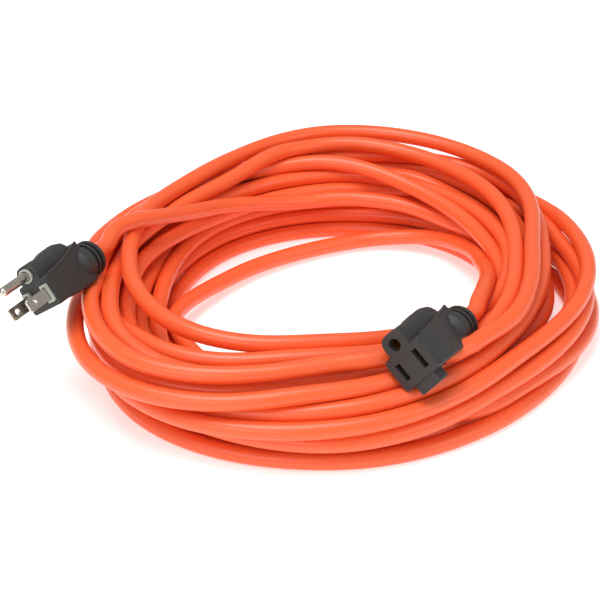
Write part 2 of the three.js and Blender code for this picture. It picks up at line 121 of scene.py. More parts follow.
# %% The turns of the coil, from the first on the floor to the last
COIL_CENTRE = np.array((7.2, -2.0)) * MM
DRAWN_IN = 0.985
PRESSED_DOWN = 0.88
TURNS = (
    # radius at 45, 0, -45, -90, -135, 180, 135, 90 degrees; height at 45, -45, -135, 135
    ((93, 93, 94, 95, 100, 94, 95, 96), (14, 6, 5, 5)),
    ((102, 101, 104, 105, 109, 103, 103, 105), (5, 5, 5, 5)),
    ((112, 108, 112, 115, 122, 112, 107, 110), (5, 5, 5, 5)),
    ((126, 135, 126, 127, 131, 121, 126, 122), (5, 5, 5, 5)),
    ((130, 136, 117, 108, 106, 101, 102, 103), (9, 11, 12, 12)),
    ((107, 98, 101, 102, 105, 108, 110, 111), (13, 13, 13, 12)),
    ((117, 105, 109, 116, 123, 116, 114, 114), (14, 14, 14, 13)),
    ((121, 112, 104, 109, 112, 99, 106, 109), (17, 17, 17, 15)),
    ((117, 104, 97, 102, 113, 106, 110, 112), (20, 20, 20, 16)),
    ((125, 127, 113, 119, 124, 115, 98, 104), (22, 24, 21, 17)),
    ((128, 132, 117, 128, 127, 123, 121, 117), (26, 35, 5, 12)),
    ((129, 129, 113, 127, 142, 123, 117, 110), (29, 36, 11, 15)),
    ((130, 109, 100, 106, 139, 118, 112, 115), (28, 26, 25, 22)),
    ((114, 101, 96, 95, 125, 126, 109, 112), (27, 27, 38, 24)),
    ((128, 105, 106, 123, 135, 114, 102, 110), (36, 34, 20, 23)),
    ((107, 97, 91, 88, 129, 120, 103, 121), (28, 29, 36, 32)),
    ((110, 95, 101, 119, 148, 122, 97, 105), (38, 34, 25, 24)),
    ((100, 95, 89, 90, 110, 110, 107, 133), (30, 30, 40, 38)),
    ((127, 97, 105, 104, 141, 120, 110, 108), (40, 35, 35, 28)),
    ((95, 92, 88, 85, 93, 88, 88, 88), (31, 25, 5, 5)),
)
STATIONS = 8
FIRST_ANGLE = 45.0
LAST_ANGLE = -164.0 - 360.0 * (len(TURNS) - 1)
ANGLE_STEP = 4.0


def cubic(x, y, query):
    """A smooth curve through (x, y), read at query."""
    place = np.clip(np.searchsorted(x, query) - 1, 0, len(x) - 2)
    width = x[place + 1] - x[place]
    s = (query - x[place]) / width
    slope = np.gradient(y, x)
    start = (2 * s**3 - 3 * s**2 + 1) * y[place] + (s**3 - 2 * s**2 + s) * width * slope[place]
    stop = (3 * s**2 - 2 * s**3) * y[place + 1] + (s**3 - s**2) * width * slope[place + 1]
    return start + stop


def coil_points():
    """The turns as points, going clockwise and upwards."""
    angles, radii, heights = [], [], []
    for turn, (turn_radii, levels) in enumerate(TURNS):
        following = TURNS[min(turn + 1, len(TURNS) - 1)][1]
        ends = levels + (following[0],)
        for station in range(STATIONS):
            pair, odd = divmod(station, 2)
            level = (ends[pair] + ends[pair + 1]) / 2 if odd else ends[pair]
            angles.append(FIRST_ANGLE - 45.0 * station - 360.0 * turn)
            radii.append(turn_radii[station])
            heights.append(level)
    keep = [i for i, a in enumerate(angles) if a > LAST_ANGLE + 25.0][::-1]
    known = np.array(angles)[keep]
    query = np.arange(known[-1], known[0], -ANGLE_STEP)
    radius = cubic(known, np.array(radii, float)[keep], query) * DRAWN_IN * MM
    height = cubic(known, np.array(heights, float)[keep], query) * PRESSED_DOWN * MM
    height = np.maximum(height, CORD_RADIUS)
    angle = np.radians(query)
    x = COIL_CENTRE[0] + radius * np.cos(angle)
    y = COIL_CENTRE[1] + radius * np.sin(angle)
    return np.stack((x, y, height), axis=1)


coil = coil_points()
print("coil route points:", len(coil), "turns:", len(TURNS))

# %% The two tails, and one smooth route from plug to connector
PLUG_TAIL = np.array((
    (-105.8, -0.2, 54.5), (-89.7, 16, 51.5), (-71.8, 36.5, 44.5), (-52.2, 59.4, 35.8),
    (-13.2, 80.7, 25.5), (10.1, 84.5, 23.8), (31.1, 82.4, 22.5), (49.1, 77.4, 20.5))) * MM
CONNECTOR_TAIL = np.array((
    (84.3, -37, 40), (89.5, -10.6, 34), (90, 14, 27), (84.5, 41, 20), (64, 68, 11.5),
    (31, 75.5, 6), (-13, 60, 4.8), (-45, 36, 4.8), (-73, -4, 4.8), (-77, -24, 4.8))) * MM
LINK = 6.0 * MM


def run_length(points):
    return float(np.linalg.norm(np.diff(points, axis=0), axis=1).sum())


def smooth_route(points, spacing):
    """A smooth curve through the points, with points at an even spacing along it."""
    gap = np.linalg.norm(np.diff(points, axis=0), axis=1) ** 0.5
    at = np.concatenate(([0.0], np.cumsum(gap)))
    rate = np.diff(points, axis=0) / gap[:, None]
    slope = np.empty_like(points)
    before, after = gap[:-1, None], gap[1:, None]
    slope[1:-1] = (rate[1:] * before + rate[:-1] * after) / (before + after)
    slope[0], slope[-1] = rate[0], rate[-1]
    s = np.linspace(0, 1, 12, endpoint=False)[:, None]
    spans = []
    for i in range(len(points) - 1):
        width = at[i + 1] - at[i]
        spans.append((2 * s**3 - 3 * s**2 + 1) * points[i] + (s**3 - 2 * s**2 + s) * width * slope[i]
                     + (3 * s**2 - 2 * s**3) * points[i + 1] + (s**3 - s**2) * width * slope[i + 1])
    fine = np.concatenate(spans + [points[-1:]])
    along = np.concatenate(([0.0], np.cumsum(np.linalg.norm(np.diff(fine, axis=0), axis=1))))
    count = int(round(along[-1] / spacing)) + 1
    even = np.linspace(0, along[-1], count)
    return np.stack([np.interp(even, along, fine[:, axis]) for axis in range(3)], axis=1)


inside_plug = [behind(PLUG_POINT, PLUG_AXES, PLUG_LENGTH + b * MM) for b in (-12, -6, 0, 6, 12)]
inside_connector = [
    behind(CONNECTOR_POINT, CONNECTOR_AXES, CONNECTOR_LENGTH + b * MM) for b in (12, 6, 0, -6, -12)]
plug_part = np.concatenate((inside_plug, PLUG_TAIL))
connector_part = np.concatenate((CONNECTOR_TAIL[::-1], inside_connector))
first_route = smooth_route(np.concatenate((plug_part, coil[2:], connector_part)), LINK)
plug_tail_length = run_length(smooth_route(plug_part, LINK))
connector_tail_length = run_length(smooth_route(connector_part, LINK))
print("first route:", len(first_route), "points,", round(run_length(first_route), 2), "m")

# %% [markdown]
# ## Letting the cord settle
# Turns written by hand cross through each other. Real cord can't, so the route is treated as a
# chain of short links and left to settle: it starts thin, grows slowly to its real thickness,
# falls a little at every step, stays off the floor, and wherever two links are closer than one
# cord thickness they push each other apart. Bending stiffness keeps the long round curves that
# thick vinyl cord has. Blender's cloth tool could do this with a chain, but it has no rope that
# touches itself well, and a few lines of array arithmetic do, with the same result every time.
# It isn't perfect: where many turns cross, some still press into each other by up to 2.4 mm, and
# the cord bends more tightly than real vinyl would beside the connector.

# %% Which links are near each other
CORD_LENGTH = 15.24


def near_links(points, reach, skip):
    """Pairs of links closer than reach that aren't neighbours along the cord."""
    cell = np.floor(points / reach).astype(np.int64)
    cell -= cell.min(axis=0)
    size = cell.max(axis=0) + 3
    code = (cell[:, 0] * size[1] + cell[:, 1]) * size[2] + cell[:, 2]
    order = np.argsort(code, kind="stable")
    ranked = code[order]
    firsts, seconds = [], []
    for dx in (-1, 0, 1):
        for dy in (-1, 0, 1):
            for dz in (-1, 0, 1):
                offset = (dx * size[1] + dy) * size[2] + dz
                if offset < 0:
                    continue
                low = np.searchsorted(ranked, ranked + offset, "left")
                count = np.searchsorted(ranked, ranked + offset, "right") - low
                a = np.repeat(np.arange(len(ranked)), count)
                within = np.arange(count.sum()) - np.repeat(np.cumsum(count) - count, count)
                i, j = order[a], order[np.repeat(low, count) + within]
                if offset == 0:
                    once = i < j
                    i, j = i[once], j[once]
                firsts.append(i)
                seconds.append(j)
    i, j = np.concatenate(firsts), np.concatenate(seconds)
    apart = points[i] - points[j]
    keep = (np.abs(i - j) > skip) & ((apart**2).sum(axis=1) < reach**2)
    return i[keep], j[keep]


i, j = near_links(first_route, CORD_DIAMETER, 5)
print("pairs of links that start too close:", len(i))

# %% The plug and the connector as rounded bars that the cord slides under
BARS = (
    # axes, point, back from, back to, sideways, up, radius (mm)
    (CONNECTOR_AXES, CONNECTOR_POINT, 4, 42, 0, 0, 10.0),
    (CONNECTOR_AXES, CONNECTOR_POINT, 0, 36, 0, 11, 7.2),
    (CONNECTOR_AXES, CONNECTOR_POINT, 2, 7, 0, -9.5, 4.8),
    (CONNECTOR_AXES, CONNECTOR_POINT, 2, 16, 6, 0, 7.5),
    (CONNECTOR_AXES, CONNECTOR_POINT, 2, 16, -6, 0, 7.5),
    (CONNECTOR_AXES, CONNECTOR_POINT, 43, 51, 0, 1, 9.6),
    (PLUG_AXES, PLUG_POINT, 4, 36, 0, 0, 9.2),
    (PLUG_AXES, PLUG_POINT, 0, 28, 0, 10.5, 6.0),
    (PLUG_AXES, PLUG_POINT, 36, 45, 0, 1, 9.6),
)
CLEARANCE = 0.4 * MM
BAR_SOFTNESS = 0.35


def slide_under_bars(points, freedom, grown):
    """Pushes links out of the plug and the connector, sideways and down, never up through them."""
    for axes, origin, back_from, back_to, side, up, radius in BARS:
        start = origin + axes @ (np.array((-back_from, side, up)) * MM)
        stop = origin + axes @ (np.array((-back_to, side, up)) * MM)
        run = stop - start
        along = np.clip(((points - start) @ run) / (run @ run), 0, 1)
        away = points - (start + along[:, None] * run)
        reach = (radius * MM + CORD_RADIUS) * grown + CLEARANCE
        hit = (np.linalg.norm(away, axis=1) < reach) & (freedom > 0.01)
        if not hit.any():
            continue
        away = away[hit]
        push = away / np.maximum(np.linalg.norm(away, axis=1), 1e-6)[:, None]
        push[:, 2] = np.minimum(push[:, 2], -BAR_SOFTNESS)
        push /= np.linalg.norm(push, axis=1, keepdims=True)
        inward = (away * push).sum(axis=1)
        step = -inward + np.sqrt(np.maximum(inward**2 - (away**2).sum(axis=1) + reach**2, 0))
        points[hit] += push * (step * BAR_SOFTNESS * freedom[hit])[:, None]


print("bars:", len(BARS))

# %% How the links pull, bend and push
BEND_SPANS = ((1, 0.3), (3, 0.3), (7, 0.25), (13, 0.15))


def bend_back(points, home, freedom, lead):
    """Stiffness: each link moves towards the curve that its neighbours make."""
    for span, strength in BEND_SPANS:
        middle = (points[:-2 * span] + points[2 * span:]) / 2
        bow = home[span:-span] - (home[:-2 * span] + home[2 * span:]) / 2
        bow[:, 2] *= lead[span:-span]
        points[span:-span] += (middle + bow - points[span:-span]) * strength * freedom[span:-span]


def hold_length(points, rest, freedom):
    """Each link keeps its length."""
    for odd in (0, 1):
        step = points[odd + 1::2] - points[odd:-1:2]
        length = np.maximum(np.linalg.norm(step, axis=1, keepdims=True), 1e-9)
        free_a, free_b = freedom[odd:-1:2], freedom[odd + 1::2]
        fix = (length - rest) / length * step / np.maximum(free_a + free_b, 1e-9) / 2
        points[odd:-1:2] += fix * free_a
        points[odd + 1::2] -= fix * free_b


STIFF_SHARE = np.array((0.04, 0.08, 0.14, 0.2, 0.28, 0.2, 0.14, 0.08, 0.04))


def push_apart(points, i, j, ways, rest, radius, freedom):
    """Links that touch push each other one cord thickness apart, and their neighbours along."""
    apart = points[i] - points[j]
    slip = np.clip((apart * ways[j]).sum(axis=1), -rest * 0.6, rest * 0.6)
    across = apart - slip[:, None] * ways[j]
    distance = np.maximum(np.linalg.norm(across, axis=1), 1e-9)
    deep = 2 * radius - distance
    hit = deep > 0
    a, b = i[hit], j[hit]
    share = np.maximum(freedom[a, 0] + freedom[b, 0], 0.05)
    move = (deep[hit] / distance[hit] / share / 2)[:, None] * across[hit]
    touches = np.bincount(a, minlength=len(points)) + np.bincount(b, minlength=len(points))
    ease = 1.6 / np.maximum(touches / 2.2, 1)
    for axis in range(3):
        total = np.bincount(a, weights=move[:, axis] * freedom[a, 0], minlength=len(points))
        total -= np.bincount(b, weights=move[:, axis] * freedom[b, 0], minlength=len(points))
        points[:, axis] += np.convolve(total * ease, STIFF_SHARE, "same") * (freedom[:, 0] > 0.01)
    return float(deep.max()) if len(deep) else 0.0


print("bending spans in links:", [span for span, strength in BEND_SPANS])

# %% Settle the cord
SETTLE_STEPS = 900
FALL = 0.12 * MM


def settle(route):
    """The route after it has thickened, dropped and pushed itself apart."""
    points, home = route.copy(), route.copy()
    rest = CORD_LENGTH / (len(route) - 1)
    from_plug = np.arange(len(route)) * LINK
    from_connector = from_plug[::-1]
    held = np.clip((from_plug - 0.03) / 0.03, 0, 1) * np.clip((from_connector - 0.03) / 0.03, 0, 1)
    lead = np.maximum(np.clip((plug_tail_length - from_plug) / 0.06, 0, 1),
                      np.clip((connector_tail_length - from_connector) / 0.06, 0, 1))
    near_end = np.maximum(np.clip((plug_tail_length - from_plug) / 0.05, 0, 1),
                          np.clip((connector_tail_length - from_connector) / 0.05, 0, 1))
    held *= 1 - 0.85 * near_end
    freedom = held[:, None]
    loose = held > 0.01
    for step in range(SETTLE_STEPS):
        progress = (step + 1) / SETTLE_STEPS
        grown = 0.3 + 0.7 * min(1.0, progress * 2)
        late = max(0.0, (progress - 0.6) / 0.4)
        radius = CORD_RADIUS * grown
        if step % 8 == 0:
            i, j = near_links(points, 2 * radius + LINK, 5)
        points[:, 2] -= FALL * (1 - 0.85 * late) * held * (1 - 0.5 * lead)
        points[:, :2] += 0.03 * (1 - 0.9 * late) * (home[:, :2] - points[:, :2]) * freedom
        points += (0.06 * lead * (1 - 0.5 * late) * loose)[:, None] * (home - points)
        bend_back(points, home, freedom, lead)
        hold_length(points, rest, freedom)
        ways = np.gradient(points, axis=0)
        ways /= np.linalg.norm(ways, axis=1, keepdims=True)
        for again in range(4 if late else 2):
            deepest = push_apart(points, i, j, ways, rest, radius, freedom)
            points[:, 2] = np.where(loose, np.maximum(points[:, 2], radius), points[:, 2])
        slide_under_bars(points, held * (lead < 0.75), grown)
        points[:, 2] = np.where(loose, np.maximum(points[:, 2], radius), points[:, 2])
    print("deepest press of cord on cord, mm:", round(deepest / MM, 2))
    return points


settled = settle(first_route)
print("settled cord:", round(run_length(settled), 3), "m, top at", round(float(settled[:, 2].max()), 4))

# %% [markdown]
# ## The jacket
# The jacket is a plain round tube of vinyl over three twisted wires. The mesh is a ring of
# points carried along the settled route without twisting, so the skin has no seams and the
# finish can run along the cord. A curve with a round bevel would look alike, but a mesh lets
# the faint lumps of the twisted wires show in the surface itself.

# %% Carry a ring along a route
def carried_axes(points):
    """A sideways and an upward direction at each point, without sudden twists."""
    ways = np.gradient(points, axis=0)
    ways /= np.linalg.norm(ways, axis=1, keepdims=True)
    side = np.cross(ways[0], (0.0, 0.0, 1.0))
    side /= np.linalg.norm(side)
    sides = [side]
    for way in ways[1:]:
        side = side - way * (side @ way)
        side /= np.linalg.norm(side)
        sides.append(side)
    sides = np.array(sides)
    return sides, np.cross(ways, sides)


def tube(name, points, radius, corners):
    """A closed round tube along the points. radius may change along it and round it."""
    sides, ups = carried_axes(points)
    turn = np.linspace(0, 2 * math.pi, corners, endpoint=False)
    rings = (points[:, None] + radius[:, :, None]
             * (np.cos(turn)[None, :, None] * sides[:, None] + np.sin(turn)[None, :, None] * ups[:, None]))
    verts = rings.reshape(-1, 3)
    count = len(points)
    faces = []
    for ring in range(count - 1):
        base = ring * corners
        for k in range(corners):
            n = (k + 1) % corners
            faces.append((base + k, base + n, base + corners + n, base + corners + k))
    faces.append(tuple(range(corners))[::-1])
    faces.append(tuple(range((count - 1) * corners, count * corners)))
    mesh = bpy.data.meshes.new(name)
    mesh.from_pydata(verts.tolist(), [], faces)
    mesh.update()
    along = np.concatenate(([0.0], np.cumsum(np.linalg.norm(np.diff(points, axis=0), axis=1))))
    layer = mesh.uv_layers.new(name="along")
    coords = np.zeros((len(mesh.loops), 2))
    cursor = 0
    for ring in range(count - 1):
        for k in range(corners):
            u0, u1 = k / corners, (k + 1) / corners
            coords[cursor:cursor + 4] = ((along[ring], u0), (along[ring], u1),
                                         (along[ring + 1], u1), (along[ring + 1], u0))
            cursor += 4
    layer.data.foreach_set("uv", coords.ravel())
    mesh.polygons.foreach_set("use_smooth", [True] * (len(faces) - 2) + [False] * 2)
    mesh.update()
    thing = bpy.data.objects.new(name, mesh)
    bpy.context.scene.collection.objects.link(thing)
    return thing


RING_SPACING = 5.0 * MM
RING_CORNERS = 16
LAY_LENGTH = 0.085
LUMP = 0.05 * MM

jacket_path = smooth_route(settled, RING_SPACING)
along_path = np.arange(len(jacket_path)) * RING_SPACING
round_ring = np.linspace(0, 2 * math.pi, RING_CORNERS, endpoint=False)
lumps = LUMP * np.cos(3 * round_ring[None, :] - 2 * math.pi * along_path[:, None] / LAY_LENGTH)
jacket = tube("cord_jacket", jacket_path, CORD_RADIUS + lumps, RING_CORNERS)
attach(jacket, "root")
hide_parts("cord_coil", "plug_tail", "connector_tail")
print("jacket faces:", len(jacket.data.polygons), "rings:", len(jacket_path))

# %% [markdown]
# ## Shared surface effects
# Every moulded or extruded surface here shows the same few things at its own strength: a fine
# grain from the tool, a slow drift of gloss where it has been handled, and a little dust where
# it faces up. Each effect is a node group with named inputs and outputs, built once, and placed
# in each material with that material's own values.

# %% Helpers for building node groups
def link(tree, source, target):
    tree.links.new(source, target)


def start_group(name, inputs, outputs):
    """An empty node group with its named sockets, and its two end nodes."""
    group = bpy.data.node_groups.new(name, "ShaderNodeTree")
    for label, kind, value in inputs:
        socket = group.interface.new_socket(name=label, in_out="INPUT", socket_type=kind)
        if value is not None:
            socket.default_value = value
    for label, kind in outputs:
        group.interface.new_socket(name=label, in_out="OUTPUT", socket_type=kind)
    return group, group.nodes.new("NodeGroupInput"), group.nodes.new("NodeGroupOutput")


def math_node(tree, operation, a, b=None, clamp=False):
    """One step of arithmetic between sockets or numbers."""
    node = tree.nodes.new("ShaderNodeMath")
    node.operation = operation
    node.use_clamp = clamp
    for slot_number, value in enumerate((a, b)):
        if value is None:
            continue
        if isinstance(value, (int, float)):
            node.inputs[slot_number].default_value = value
        else:
            link(tree, value, node.inputs[slot_number])
    return node.outputs[0]


def noise(tree, where, scale, detail=3.0, roughness=0.5):
    node = tree.nodes.new("ShaderNodeTexNoise")
    link(tree, where, node.inputs["Vector"])
    if isinstance(scale, (int, float)):
        node.inputs["Scale"].default_value = scale
    else:
        link(tree, scale, node.inputs["Scale"])
    node.inputs["Detail"].default_value = detail
    node.inputs["Roughness"].default_value = roughness
    return node.outputs["Fac"]


print("group helpers ready")

# %% Fine grain left by the mould
def build_mould_grain():
    group, given, made = start_group(
        "mould_grain",
        (("Grains per Metre", "NodeSocketFloat", 2600.0), ("Depth", "NodeSocketFloat", 0.3)),
        (("Height", "NodeSocketFloat"), ("Gloss Break", "NodeSocketFloat")))
    place = group.nodes.new("ShaderNodeTexCoord").outputs["Object"]
    fine = noise(group, place, given.outputs["Grains per Metre"], 2.0)
    coarse = noise(group, place, math_node(group, "MULTIPLY", given.outputs["Grains per Metre"], 0.22), 3.0)
    mixed = math_node(group, "ADD", math_node(group, "MULTIPLY", fine, 0.65),
                      math_node(group, "MULTIPLY", coarse, 0.35))
    link(group, math_node(group, "MULTIPLY", mixed, given.outputs["Depth"]), made.inputs["Height"])
    link(group, math_node(group, "SUBTRACT", mixed, 0.5), made.inputs["Gloss Break"])
    return group


mould_grain = build_mould_grain()
print("group:", mould_grain.name)

# %% Slow drift of gloss and shade from handling
def build_handling():
    group, given, made = start_group(
        "handling_marks",
        (("Color", "NodeSocketColor", (0.5, 0.5, 0.5, 1.0)), ("Shade Drift", "NodeSocketFloat", 0.1),
         ("Roughness", "NodeSocketFloat", 0.4), ("Roughness Drift", "NodeSocketFloat", 0.1),
         ("Patches per Metre", "NodeSocketFloat", 35.0)),
        (("Color", "NodeSocketColor"), ("Roughness", "NodeSocketFloat"), ("Rub", "NodeSocketFloat")))
    place = group.nodes.new("ShaderNodeTexCoord").outputs["Object"]
    patches = noise(group, place, given.outputs["Patches per Metre"], 4.0, 0.6)
    streak_scale = group.nodes.new("ShaderNodeMapping")
    streak_scale.inputs["Scale"].default_value = (1.0, 1.0, 6.0)
    link(group, place, streak_scale.inputs["Vector"])
    streaks = noise(group, streak_scale.outputs["Vector"],
                    math_node(group, "MULTIPLY", given.outputs["Patches per Metre"], 7.0), 5.0, 0.7)
    drift = math_node(group, "SUBTRACT", patches, 0.5)
    shade = group.nodes.new("ShaderNodeHueSaturation")
    link(group, given.outputs["Color"], shade.inputs["Color"])
    drifted = math_node(group, "MULTIPLY", drift, given.outputs["Shade Drift"])
    link(group, math_node(group, "ADD", 1.0, drifted), shade.inputs["Value"])
    link(group, shade.outputs["Color"], made.inputs["Color"])
    streaked = math_node(group, "MULTIPLY", math_node(group, "SUBTRACT", streaks, 0.5), 0.6)
    rough = math_node(group, "MULTIPLY", math_node(group, "ADD", drift, streaked),
                      given.outputs["Roughness Drift"])
    link(group, math_node(group, "ADD", given.outputs["Roughness"], rough, True), made.inputs["Roughness"])
    link(group, math_node(group, "GREATER_THAN", streaks, 0.68), made.inputs["Rub"])
    return group


handling_marks = build_handling()
print("group:", handling_marks.name)

# %% Dust that settles on what faces up
def build_dust():
    group, given, made = start_group(
        "settled_dust",
        (("Color", "NodeSocketColor", (0.5, 0.5, 0.5, 1.0)),
         ("Dust Color", "NodeSocketColor", (0.7, 0.66, 0.6, 1.0)),
         ("Amount", "NodeSocketFloat", 0.05), ("Specks per Metre", "NodeSocketFloat", 900.0)),
        (("Color", "NodeSocketColor"), ("Dust", "NodeSocketFloat")))
    geometry = group.nodes.new("ShaderNodeNewGeometry")
    split = group.nodes.new("ShaderNodeSeparateXYZ")
    link(group, geometry.outputs["Normal"], split.inputs[0])
    upward = math_node(group, "MULTIPLY", math_node(group, "SUBTRACT", split.outputs["Z"], 0.2), 1.25, True)
    place = group.nodes.new("ShaderNodeTexCoord").outputs["Object"]
    specks = noise(group, place, given.outputs["Specks per Metre"], 3.0, 0.7)
    lit = math_node(group, "MULTIPLY", math_node(group, "SUBTRACT", specks, 0.42), 2.5, True)
    settled_share = math_node(group, "MULTIPLY", upward, lit)
    amount = math_node(group, "MULTIPLY", settled_share, given.outputs["Amount"], True)
    mix = group.nodes.new("ShaderNodeMix")
    mix.data_type = "RGBA"
    link(group, amount, mix.inputs["Factor"])
    link(group, given.outputs["Color"], mix.inputs["A"])
    link(group, given.outputs["Dust Color"], mix.inputs["B"])
    link(group, mix.outputs["Result"], made.inputs["Color"])
    link(group, amount, made.inputs["Dust"])
    return group


settled_dust = build_dust()
print("group:", settled_dust.name)

# %% Lines drawn along an extruded skin
def build_extrusion():
    group, given, made = start_group(
        "extrusion_lines",
        (("Lines Round", "NodeSocketFloat", 26.0), ("Depth", "NodeSocketFloat", 0.3)),
        (("Height", "NodeSocketFloat"), ("Gloss Break", "NodeSocketFloat")))
    uv = group.nodes.new("ShaderNodeTexCoord").outputs["UV"]
    split = group.nodes.new("ShaderNodeSeparateXYZ")
    link(group, uv, split.inputs[0])
    angle = math_node(group, "MULTIPLY", split.outputs["Y"], 2 * math.pi)
    ring = group.nodes.new("ShaderNodeCombineXYZ")
    link(group, math_node(group, "MULTIPLY", split.outputs["X"], 9.0), ring.inputs["X"])
    link(group, math_node(group, "COSINE", angle), ring.inputs["Y"])
    link(group, math_node(group, "SINE", angle), ring.inputs["Z"])
    stretched = group.nodes.new("ShaderNodeVectorMath")
    stretched.operation = "MULTIPLY"
    link(group, ring.outputs[0], stretched.inputs[0])
    spread = group.nodes.new("ShaderNodeCombineXYZ")
    spread.inputs["X"].default_value = 1.0
    link(group, math_node(group, "MULTIPLY", given.outputs["Lines Round"], 0.16), spread.inputs["Y"])
    link(group, math_node(group, "MULTIPLY", given.outputs["Lines Round"], 0.16), spread.inputs["Z"])
    link(group, spread.outputs[0], stretched.inputs[1])
    lines = noise(group, stretched.outputs[0], 1.0, 4.0, 0.65)
    link(group, math_node(group, "MULTIPLY", lines, given.outputs["Depth"]), made.inputs["Height"])
    link(group, math_node(group, "SUBTRACT", lines, 0.5), made.inputs["Gloss Break"])
    return group


extrusion_lines = build_extrusion()
print("group:", extrusion_lines.name)

# %% [markdown]
# ## The plastics
# The jacket is flexible vinyl, extruded and left semi-glossy. The plug and the connector are
# the same kind of vinyl, moulded round the wires in a tool with a fine satin texture. Each
# material is one Principled shader: the groups above feed its colour, roughness and bump, and
# its constant values sit on the shader itself.

# %% One recipe for a plastic surface
def place_group(tree, group, **values):
    node = tree.nodes.new("ShaderNodeGroup")
    node.node_tree = group
    for label, value in values.items():
        node.inputs[label.replace("_", " ")].default_value = value
    return node


def plastic(name, color, roughness, grain_depth=0.3, grains=2600.0, drift=0.08, rough_drift=0.12,
            dust=0.03, lines=0.0, specular=0.5, coat=0.0, coat_roughness=0.2, bump=0.35, sheen=0.0):
    """A vinyl or nylon surface with grain, handling and dust of its own strength."""
    material = bpy.data.materials.new(name)
    material.use_nodes = True
    tree = material.node_tree
    tree.nodes.clear()
    output = tree.nodes.new("ShaderNodeOutputMaterial")
    shader = tree.nodes.new("ShaderNodeBsdfPrincipled")
    link(tree, shader.outputs["BSDF"], output.inputs["Surface"])
    handled = place_group(tree, handling_marks, Color=color, Shade_Drift=drift, Roughness=roughness,
                          Roughness_Drift=rough_drift)
    dusty = place_group(tree, settled_dust, Amount=dust)
    link(tree, handled.outputs["Color"], dusty.inputs["Color"])
    link(tree, dusty.outputs["Color"], shader.inputs["Base Color"])
    grain = place_group(tree, mould_grain, Depth=grain_depth)
    grain.inputs["Grains per Metre"].default_value = grains
    height = grain.outputs["Height"]
    rough = math_node(tree, "ADD", handled.outputs["Roughness"],
                      math_node(tree, "MULTIPLY", grain.outputs["Gloss Break"], 0.12), True)
    if lines:
        drawn = place_group(tree, extrusion_lines, Depth=lines)
        height = math_node(tree, "ADD", height, drawn.outputs["Height"])
        broken = math_node(tree, "MULTIPLY", drawn.outputs["Gloss Break"], 0.15)
        rough = math_node(tree, "ADD", rough, broken, True)
    rough = math_node(tree, "ADD", rough, math_node(tree, "MULTIPLY", dusty.outputs["Dust"], 1.5), True)
    link(tree, rough, shader.inputs["Roughness"])
    bumped = tree.nodes.new("ShaderNodeBump")
    bumped.inputs["Strength"].default_value = bump
    bumped.inputs["Distance"].default_value = 0.0002
    link(tree, height, bumped.inputs["Height"])
    link(tree, bumped.outputs["Normal"], shader.inputs["Normal"])
    shader.inputs["Specular IOR Level"].default_value = specular
    shader.inputs["Coat Weight"].default_value = coat
    shader.inputs["Coat Roughness"].default_value = coat_roughness
    shader.inputs["Sheen Weight"].default_value = sheen
    return material


orange_jacket = plastic("orange_jacket", (0.90, 0.120, 0.030, 1.0), 0.33, grain_depth=0.12, grains=1800.0,
                        drift=0.07, rough_drift=0.14, dust=0.03, lines=0.5, specular=0.5, bump=0.3)
black_vinyl = plastic("black_vinyl", (0.026, 0.0245, 0.0235, 1.0), 0.56, grain_depth=0.5, grains=3200.0,
                      drift=0.16, rough_drift=0.12, dust=0.05, specular=0.5, bump=0.4)
grey_nylon = plastic("grey_nylon", (0.40, 0.43, 0.38, 1.0), 0.48, grain_depth=0.25, dust=0.02)
black_wire = plastic("black_wire", (0.02, 0.02, 0.021, 1.0), 0.40, lines=0.0)
white_wire = plastic("white_wire", (0.78, 0.77, 0.72, 1.0), 0.40)
green_wire = plastic("green_wire", (0.03, 0.20, 0.07, 1.0), 0.40)
jacket.data.materials.append(orange_jacket)
print("plastics:", [m.name for m in bpy.data.materials if m.use_nodes][-6:])

# %% [markdown]
# ## The metals
# The prongs are brass strip with a nickel plate, polished but never quite flat: they carry
# fine scratches along their length from being pushed into outlets. The contacts in the
# connector are plain stamped brass, and the wires are bare copper where they are crimped.

# %% One recipe for a stamped metal
def metal(name, color, roughness, scratches=0.4, tarnish=(0.3, 0.2, 0.1, 1.0), tarnish_amount=0.2):
    """Stamped or drawn metal: a fine grain of scratches, and a darker tarnish in patches."""
    material = bpy.data.materials.new(name)
    material.use_nodes = True
    tree = material.node_tree
    tree.nodes.clear()
    output = tree.nodes.new("ShaderNodeOutputMaterial")
    shader = tree.nodes.new("ShaderNodeBsdfPrincipled")
    link(tree, shader.outputs["BSDF"], output.inputs["Surface"])
    shader.inputs["Metallic"].default_value = 1.0
    handled = place_group(tree, handling_marks, Color=color, Shade_Drift=0.25, Roughness=roughness,
                          Roughness_Drift=0.25)
    handled.inputs["Patches per Metre"].default_value = 160.0
    dulled = place_group(tree, settled_dust, Amount=tarnish_amount)
    dulled.inputs["Dust Color"].default_value = tarnish
    dulled.inputs["Specks per Metre"].default_value = 420.0
    link(tree, handled.outputs["Color"], dulled.inputs["Color"])
    link(tree, dulled.outputs["Color"], shader.inputs["Base Color"])
    grain = place_group(tree, mould_grain, Depth=scratches)
    grain.inputs["Grains per Metre"].default_value = 5200.0
    link(tree, math_node(tree, "ADD", handled.outputs["Roughness"],
                         math_node(tree, "MULTIPLY", grain.outputs["Gloss Break"], 0.3), True),
         shader.inputs["Roughness"])
    bumped = tree.nodes.new("ShaderNodeBump")
    bumped.inputs["Strength"].default_value = 0.2
    bumped.inputs["Distance"].default_value = 0.0001
    link(tree, grain.outputs["Height"], bumped.inputs["Height"])
    link(tree, bumped.outputs["Normal"], shader.inputs["Normal"])
    return material


